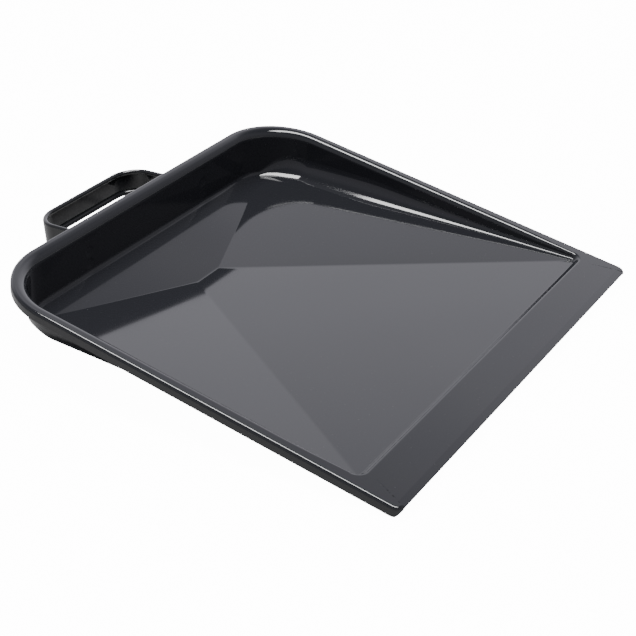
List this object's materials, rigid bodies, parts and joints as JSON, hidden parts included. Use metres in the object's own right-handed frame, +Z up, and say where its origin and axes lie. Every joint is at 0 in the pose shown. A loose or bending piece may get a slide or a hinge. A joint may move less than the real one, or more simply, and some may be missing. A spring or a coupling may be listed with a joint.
{
  "type": "steel dustpan",
  "caption": "Pressed steel dustpan: rolled rim with turned-down skirt, hipped concave floor, flat front lip and a spot-welded D-shaped strap handle at the back.",
  "frame": {"origin": "middle of the bounding box on the surface the pan rests on", "axes": "+X to the right seen from behind the handle, +Y towards the handle, +Z up; the pan lies at rest on its two front skirt corners and the lowest fold of its floor"},
  "size_m": [0.305, 0.347, 0.0517],
  "materials": {
    "black_enamel": "gloss black coating over pressed steel",
    "handle_enamel": "gloss black coating over bent steel strip",
    "weld_mark": "gloss black coating over a spot weld's dimple"
  },
  "bodies": {
    "root": {"pan": "black_enamel", "handle_strap": "handle_enamel", "weld_left_upper": "weld_mark", "weld_left_lower": "weld_mark", "weld_right_upper": "weld_mark", "weld_right_lower": "weld_mark"}
  },
  "joints": []
}
